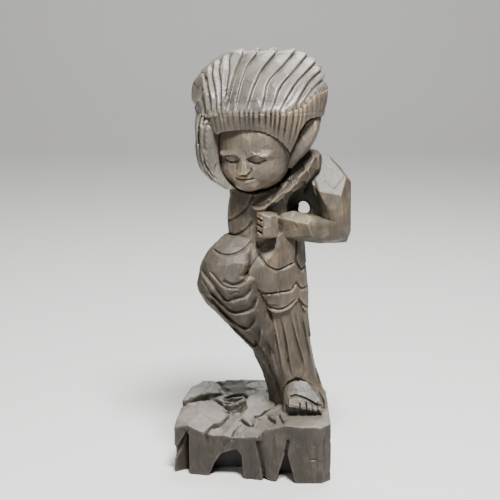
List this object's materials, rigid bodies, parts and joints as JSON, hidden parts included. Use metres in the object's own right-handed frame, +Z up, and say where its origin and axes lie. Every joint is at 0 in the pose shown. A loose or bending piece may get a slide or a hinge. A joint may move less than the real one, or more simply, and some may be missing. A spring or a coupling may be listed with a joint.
{
  "type": "carved ancestor figure",
  "caption": "Knife-carved dark wooden figure with a broad swept mane, striding on a chopped rock, one knee forward, a fist holding its shoulder band, the other hand behind its back.",
  "frame": {"origin": "on the surface the rock stands on, at the middle of the whole figure's width and depth", "axes": "+Z up; the figure faces -Y; its own left, the side of the raised fist, is +X"},
  "size_m": [0.104, 0.066, 0.25],
  "materials": {
    "rock_wood": "dark stained wood, chopped facets, dull wax",
    "robe_wood": "dark stained wood, knife facets, worn wax sheen",
    "skin_wood": "dark stained wood rubbed lighter on the high places",
    "hair_wood": "dark stained wood, broad strands with a satin wax sheen"
  },
  "bodies": {
    "root": {"rock_base": "rock_wood", "left_foot": "skin_wood", "right_foot": "skin_wood", "left_leg": "robe_wood", "right_leg": "robe_wood", "torso": "robe_wood", "shoulder_band": "robe_wood", "left_upper_arm": "robe_wood", "left_forearm": "robe_wood", "left_fist": "skin_wood", "right_upper_arm": "robe_wood", "right_forearm": "robe_wood", "right_hand": "skin_wood", "neck": "skin_wood", "head": "skin_wood", "left_ear": "skin_wood", "side_lock": "hair_wood", "hair_fringe": "hair_wood", "hair_mane": "hair_wood", "hair_knot": "hair_wood"}
  },
  "joints": []
}
